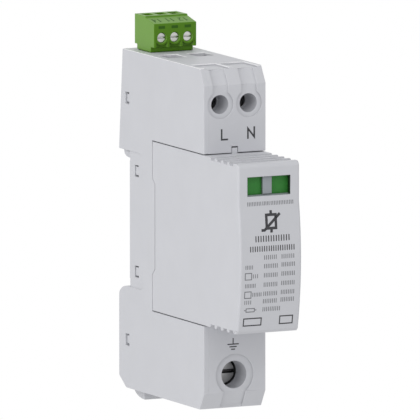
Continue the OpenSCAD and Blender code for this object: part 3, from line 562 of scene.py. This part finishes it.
def module_case():
    """The module's shell, with painted shade in its window: the window's right-hand side is painted dark, and
    the window's sill is painted in the bar's grey.
    """
    piece = softened("module_shell", FRONT_EDGE, module_edge, segments=3)
    shade = add_finish(piece, SHADE_FINISH)
    sill_shade = add_finish(piece, BAR_AND_SILL_SHADE_FINISH)
    low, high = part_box("flag_right")
    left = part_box("flag_left")[0].x
    for face in piece.data.polygons:
        where = face.center
        before_flag = MODULE_BOX[0].y + SILL_START < where.y < low.y and left < where.x
        beside_flag = low.z < where.z < high.z and where.x > low.x
        # Painted shade: the window's right-hand reveal is painted dark, and its sill in the bar's grey
        if before_flag and beside_flag and face.normal.x < -SQUARE_ON:
            face.material_index = shade
        elif before_flag and abs(where.z - low.z) < SILL_ROOM and face.normal.z > SLANTING:
            face.material_index = sill_shade


def plug_case():
    """The plug's body, whose front faces are painted a deeper green than its sides and top, as painted shade.
    """
    piece = softened("plug_body", MOULD_EDGE)
    front = add_finish(piece, PLUG_FRONT_SHADE_FINISH)
    for face in piece.data.polygons:
        # Front-facing faces take the painted shade
        if face.normal.y < -SQUARE_ON:
            face.material_index = front


def window_bar():
    """The frame behind the flags: a red field, and a grey bar that shows between the flags."""
    piece = softened("indicator_frame", METAL_EDGE)
    bar = add_finish(piece, BAR_AND_SILL_SHADE_FINISH)
    field_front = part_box("flag_left")[0].y
    for face in piece.data.polygons:
        if face.center.y < field_front + BAR_DEPTH:
            face.material_index = bar


for node, solid in NODES.items():
    solid.data.materials.clear()
    solid.data.materials.append(FINISHES[SLOT_OF[node]])

base_case()
softened("rail_latch", MOULD_EDGE)
for node in (name for name in NODES if name.startswith("plug_screw_")):
    softened(node, METAL_EDGE)
module_case()
plug_case()
window_bar()


def coil_spring(node):
    """A copy of a coil spring's solid, put in its place on the body that it rides."""
    piece = placed(f"{node}_coils", NODES[node].data.copy())
    stand_in(piece, node)
    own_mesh(piece)


coil_spring("latch_spring")
coil_spring("trip_spring_left")
coil_spring("trip_spring_right")


# Print: how ink lies on a surface, in metres
INK_RISE = 0.02 * MM
INK_SINK = 0.02 * MM
STANDOFF = 50 * MM

# Print: its strokes and its layout from here on are in millimetres
INK_STEP = 0.6
LETTER_STROKE = 0.45
BOLD_STROKE = 0.72
LINE_STROKE = 0.3
FINE_STROKE = 0.22


def surface_finder(node, direction):
    """A function that drops a point onto a CAD solid along a direction: the point there and its normal."""
    mesh = NODES[node].data
    tree = BVHTree.FromPolygons([v.co for v in mesh.vertices], [tuple(p.vertices) for p in mesh.polygons])

    def drop(point):
        where, normal, _, _ = tree.ray_cast(point - direction * STANDOFF, direction)
        return where, normal
    return drop


def front_face(node):
    """Print coordinates on a front face: millimetres to the right and up."""
    drop = surface_finder(node, Vector((0, 1, 0)))
    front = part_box(node)[0].y

    def lay(x, z):
        return drop(Vector((x * MM, front, z * MM)))
    return lay


def upper_face(node):
    """Print coordinates on a face seen from above: millimetres to the right and back."""
    drop = surface_finder(node, Vector((0, 0, -1)))
    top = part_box(node)[1].z

    def lay(x, y):
        return drop(Vector((x * MM, y * MM, top)))
    return lay


def ribbon(shape, lay, points, width, closed=False):
    """One inked line of even width through the points, mitred at its corners, laid on a surface."""
    corners = [Vector(point) for point in points]
    path = []
    for one, two in zip(corners, corners[1:] + corners[:1] if closed else corners[1:]):
        steps = math.ceil((two - one).length / INK_STEP)
        path += [one.lerp(two, k / steps) for k in range(steps)]
    if not closed:
        path.append(corners[-1])
    count = len(path)
    sections = []
    for i, point in enumerate(path):
        before = path[i - 1] if i or closed else None
        after = path[(i + 1) % count] if i + 1 < count or closed else None
        ways = [(a, b) for a, b in ((before, point), (point, after)) if a and b]
        sides = [(b - a).normalized().orthogonal() for a, b in ways]
        across = sum(sides, Vector((0, 0))).normalized()
        across *= width / 2 / across.dot(sides[0])
        section = []
        for edge in (point + across, point - across):
            where, normal = lay(*edge)
            section.append(where + normal * INK_RISE)
            section.append(where - normal * INK_SINK)
        left_top, left_low, right_top, right_low = (shape.verts.new(co) for co in section)
        sections.append((left_top, right_top, right_low, left_low))
    pairs = list(zip(sections, sections[1:]))
    if closed:
        pairs.append((sections[-1], sections[0]))
    else:
        shape.faces.new(sections[0])
        shape.faces.new(reversed(sections[-1]))
    for one, two in pairs:
        for k in range(len(one)):
            after = (k + 1) % len(one)
            shape.faces.new((one[k], two[k], two[after], one[after]))


def printed(name, body, finish, lines):
    """A piece made of inked lines: each is a surface to lie on, points, a width and whether it closes."""
    shape = bmesh.new()
    for lay, points, width, closed in lines:
        ribbon(shape, lay, points, width, closed)
    bmesh.ops.recalc_face_normals(shape, faces=shape.faces)
    piece = shaped(name, shape)
    add_finish(piece, finish)
    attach(piece, body)


def block(lay, x0, x1, z, height):
    """A plain bar of ink."""
    return lay, [(x0, z), (x1, z)], height, False


def frame_line(lay, x0, x1, z0, z1, width):
    """A rectangle's outline."""
    return lay, [(x0, z0), (x1, z0), (x1, z1), (x0, z1)], width, True


# Rows of ticks: their spacing and their thickness for a row one high
TICK_PITCH = 0.47
TICK_STROKE = 0.18


def tick_row(lay, x0, x1, z, height):
    """A row of even upright ticks, centred on a height."""
    count = round((x1 - x0) / (TICK_PITCH * height))
    low, high = z - height / 2, z + height / 2
    places = [x0 + (x1 - x0) * i / count for i in range(count + 1)]
    return [(lay, [(x, low), (x, high)], TICK_STROKE * height, False) for x in places]


# Terminal letters: where they stand, and the earth sign's stem and bars, each bar a height and a length
LETTER_LOW, LETTER_HIGH = 26.3, 29.1
L_LEFT, L_RIGHT = -3.85, -2.0
N_LEFT, N_RIGHT = 3.8, 5.65
N_OVERRUN = 0.2
N_MITRE = 0.25
EARTH_MIDDLE = -0.5
EARTH_STEM = (-26.3, -27.75)
EARTH_BARS = ((-27.9, 3.3), (-28.57, 2.1), (-29.25, 1.15))


def terminal_letters():
    """L and N under their screws on the upper shoulder, and the earth sign over the lower screw."""
    lay = front_face("base_housing")
    letter_l = [(L_LEFT, LETTER_HIGH), (L_LEFT, LETTER_LOW), (L_RIGHT, LETTER_LOW)]
    letter_n = [(N_LEFT, LETTER_LOW - N_OVERRUN), (N_LEFT, LETTER_HIGH - N_MITRE),
                (N_RIGHT, LETTER_LOW + N_MITRE), (N_RIGHT, LETTER_HIGH + N_OVERRUN)]
    lines = [(lay, letter, LETTER_STROKE, False) for letter in (letter_l, letter_n)]
    lines.append((lay, [(EARTH_MIDDLE, z) for z in EARTH_STEM], LINE_STROKE, False))
    for z, width in EARTH_BARS:
        lines.append(block(lay, EARTH_MIDDLE - width / 2, EARTH_MIDDLE + width / 2, z, LINE_STROKE))
    printed("terminal_letters", "base", INK_FINISH, lines)


# Component sign: its middle, its half width and half height, its leads and its slash from the middle
SIGN_X, SIGN_Z = 0.3, 7.1
SIGN_HALF_WIDE, SIGN_HALF_HIGH = 1.35, 1.75
SIGN_LEAD = (1.95, 2.9)
SIGN_SLASH = ((-2.9, -2.2), (-2.0, -2.2), (2.6, 2.0))

# Rows of ticks around the sign: left, right, height on the face and height of the ticks
BOLD_ROWS = ((-4.3, 5.3, 2.7, 1.6), (-5.9, -1.2, 0.1, 1.45), (-0.5, 6.7, 0.1, 1.45))
FINE_ROWS = ((-6.2, -2.4, 11.85, 1.05), (-1.8, 0.0, 11.85, 1.05), (0.6, 6.9, 11.85, 1.05),
             (-1.9, 1.5, -2.2, 1.15), (3.2, 6.6, -2.2, 1.15))

# Table: each row's height, its label's length and whether a small box stands before the label
TABLE_ROWS = (
    (-4.6, 1.9, False), (-7.0, 1.2, True), (-9.5, 2.8, False), (-11.9, 2.4, True), (-13.9, 1.7, False))
LABEL_LEFT = -7.3
LABEL_INDENT = 2.2
LABEL_HIGH = 1.05
VALUE_HIGH = 1.15
BOX_LEFT, BOX_RIGHT = -7.45, -5.6
BOX_HALF_HIGH = 0.85

# Columns of the table: left, right and how far above the label's height they are
COLUMNS = ((-1.9, 1.8, 0.1), (3.2, 6.8, 0.25))

# Under the table: a fuse sign with its leads, a last row and two blank marking fields
FUSE_Z = -16.0
FUSE_BODY = (-6.8, -4.4, -16.45, -15.55)
FUSE_LEADS = ((-7.4, -6.95), (-4.25, -3.8))
LAST_ROW = (-1.9, 2.9, -15.95, 1.15)
BLANK_FIELDS = ((-7.3, -2.2, -20.15, -18.25), (3.2, 6.9, -20.15, -18.1))


def module_sign(lay):
    """The bold print on the module's front: the component sign, the blank fields and rows of large ticks."""
    lines = [frame_line(lay, SIGN_X - SIGN_HALF_WIDE, SIGN_X + SIGN_HALF_WIDE,
                        SIGN_Z - SIGN_HALF_HIGH, SIGN_Z + SIGN_HALF_HIGH, BOLD_STROKE)]
    for side in (1, -1):
        lead = [(SIGN_X, SIGN_Z + side * end) for end in SIGN_LEAD]
        lines.append((lay, lead, BOLD_STROKE, False))
    slash = [(SIGN_X + across, SIGN_Z + up) for across, up in SIGN_SLASH]
    lines.append((lay, slash, BOLD_STROKE, False))
    lines += [frame_line(lay, *field, LINE_STROKE) for field in BLANK_FIELDS]
    for row in BOLD_ROWS:
        lines += tick_row(lay, *row)
    printed("module_sign", "module", INK_FINISH, lines)


def module_rows(lay):
    """The fine print on the module's front: rows of ticks, set out as a table, and a fuse sign."""
    lines = []
    for row in FINE_ROWS:
        lines += tick_row(lay, *row)
    for z, label, boxed in TABLE_ROWS:
        left = LABEL_LEFT + LABEL_INDENT if boxed else LABEL_LEFT
        lines += tick_row(lay, left, left + label, z, LABEL_HIGH)
        for x0, x1, lift in COLUMNS:
            lines += tick_row(lay, x0, x1, z + lift, VALUE_HIGH)
        if boxed:
            low, high = z - BOX_HALF_HIGH, z + BOX_HALF_HIGH
            lines.append(frame_line(lay, BOX_LEFT, BOX_RIGHT, low, high, FINE_STROKE))
    lines.append(frame_line(lay, *FUSE_BODY, FINE_STROKE))
    lines += [block(lay, *lead, FUSE_Z, FINE_STROKE) for lead in FUSE_LEADS]
    lines += tick_row(lay, *LAST_ROW)
    printed("module_rows", "module", THIN_INK_FINISH, lines)


# Plug print: plain figures as strokes in a cell one wide and one high, and the bars over the screws
FIGURES = {
    "1": ((0.15, 0.75), (0.55, 1), (0.55, 0)),
    "2": ((0.05, 0.95), (0.95, 0.95), (0.95, 0.55), (0.1, 0.05), (1, 0.05)),
    "4": ((0.75, 0), (0.75, 1), (0.05, 0.3), (1, 0.3)),
}
CONTACT_NUMBERS = {"plug_screw_1": "14", "plug_screw_2": "11", "plug_screw_3": "12"}
FIGURE_WIDE = 0.95
FIGURE_HIGH = 2.2
FIGURE_PITCH = 1.4
FIGURE_STROKE = 0.28
NUMBER_LEFT = -1.55
NUMBER_FRONT = -7.9
BAR_SPAN = (-1.05, 0.8)
BAR_LIFT = 2.78
BAR_HIGH = 0.75


def plug_print():
    """A dark bar over each of the plug's screws, and behind it a number that reads upright from the rail."""
    front = front_face("plug_body")
    slope = upper_face("plug_body")
    bars = []
    numbers = []
    for pole, number in CONTACT_NUMBERS.items():
        low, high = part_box(pole)
        middle = (low + high) / 2 / MM
        bars.append(block(front, *(middle.x + end for end in BAR_SPAN), middle.z + BAR_LIFT, BAR_HIGH))
        for i, figure in enumerate(reversed(number)):
            left = middle.x + NUMBER_LEFT + i * FIGURE_PITCH
            points = [(left + (1 - across) * FIGURE_WIDE, NUMBER_FRONT + (1 - up) * FIGURE_HIGH)
                      for across, up in FIGURES[figure]]
            numbers.append((slope, points, FIGURE_STROKE, False))
    printed("plug_bars", "plug", PLUG_INK_FINISH, bars)
    printed("plug_numbers", "plug", PLUG_INK_FINISH, numbers)


terminal_letters()
module_front = front_face("module_shell")
module_sign(module_front)
module_rows(module_front)
plug_print()


# Room, lamps and camera
def aim(azimuth, elevation):
    """The direction from the object towards a viewer or a lamp."""
    return Vector((
        math.sin(azimuth) * math.cos(elevation),
        -math.cos(azimuth) * math.cos(elevation),
        math.sin(elevation)))


def background_seen(finish):
    """One where the background itself is looked at: by the camera, or in metal, gloss or something clear."""
    camera_ray, glossy_ray, clear_ray = (
        finish.node("ShaderNodeLightPath", {}, out=f"Is {kind} Ray")
        for kind in ("Camera", "Glossy", "Transmission"))
    return camera_ray + glossy_ray + clear_ray


def room():
    """An even white room: plain light on the object, full white where it is looked at."""
    world = bpy.data.worlds.new("room")
    bpy.context.scene.world = world
    finish = Finish(world, "Background", "World Output")
    finish.shade(Color=WHITE, Strength=ROOM_LEVEL + (1 - ROOM_LEVEL) * background_seen(finish))


def lamp(name, azimuth, elevation, watts):
    """A broad lamp that faces the object, placed by angles in degrees."""
    light = bpy.data.lights.new(name, "AREA")
    light.shape = "SQUARE"
    light.size = LAMP_SIZE
    light.energy = watts
    holder = placed(name, light)
    towards = aim(math.radians(azimuth), math.radians(elevation))
    holder.location = towards * LAMP_DISTANCE
    holder.rotation_euler = towards.to_track_quat("Z", "Y").to_euler()


def floor():
    """A pale floor under the hanging part, plain white further off and clear from underneath."""
    mesh = bpy.data.meshes.new("floor")
    half = FLOOR_SIZE / 2
    level = CAD_BOX[0][2] - FLOOR_DROP
    outline = ((-half, -half), (half, -half), (half, half), (-half, half))
    mesh.from_pydata([(x, y, level) for x, y in outline], [], [range(len(outline))])
    ground = placed("floor", mesh)
    finish = surface_finish("floor_white")
    reach = finish.node("ShaderNodeVectorMath", {"operation": "LENGTH"}, finish.place(), out="Value")
    far_off = finish.smooth_step(reach, *FLOOR_FADE)
    finish.shade(Base_Color=screen_colour(FLOOR_WHITE), Roughness=0.9, Specular_IOR_Level=0.1)
    glow = finish.node("ShaderNodeEmission", {}, Color=WHITE, Strength=1.0)
    matt = Value(finish, finish.shader.outputs[0])
    topside = finish.node("ShaderNodeMixShader", {}, far_off * background_seen(finish), matt, glow)
    underneath = finish.node("ShaderNodeNewGeometry", {}, out="Backfacing")
    clear = finish.node("ShaderNodeBsdfTransparent", {})
    surface = finish.node("ShaderNodeMixShader", {}, underneath, topside, clear)
    finish.feed(finish.output.inputs["Surface"], surface)
    add_finish(ground, finish.owner)


def camera():
    """The photograph's view: its angle, its scale and where the object sits in the picture."""
    towards = aim(VIEW_AZIMUTH, VIEW_ELEVATION)
    right = Vector((math.cos(VIEW_AZIMUTH), math.sin(VIEW_AZIMUTH), 0))
    up = towards.cross(right)
    focal_pixels = LENS_MM / SENSOR_MM * IMAGE_PIXELS
    distance = focal_pixels / PIXELS_PER_MM * MM + MIDDLE_DEPTH
    data = bpy.data.cameras.new("camera")
    data.lens = LENS_MM
    data.sensor_width = SENSOR_MM
    holder = placed("camera", data)
    where = right * CENTRE_RIGHT + up * CENTRE_UP + towards * distance
    holder.matrix_world = Matrix.Translation(where) @ Matrix((right, up, towards)).transposed().to_4x4()
    bpy.context.scene.camera = holder


room()
lamp("left_lamp", *LEFT_LAMP)
lamp("front_lamp", *FRONT_LAMP)
floor()
camera()
bpy.context.scene.view_settings.view_transform = "Standard"
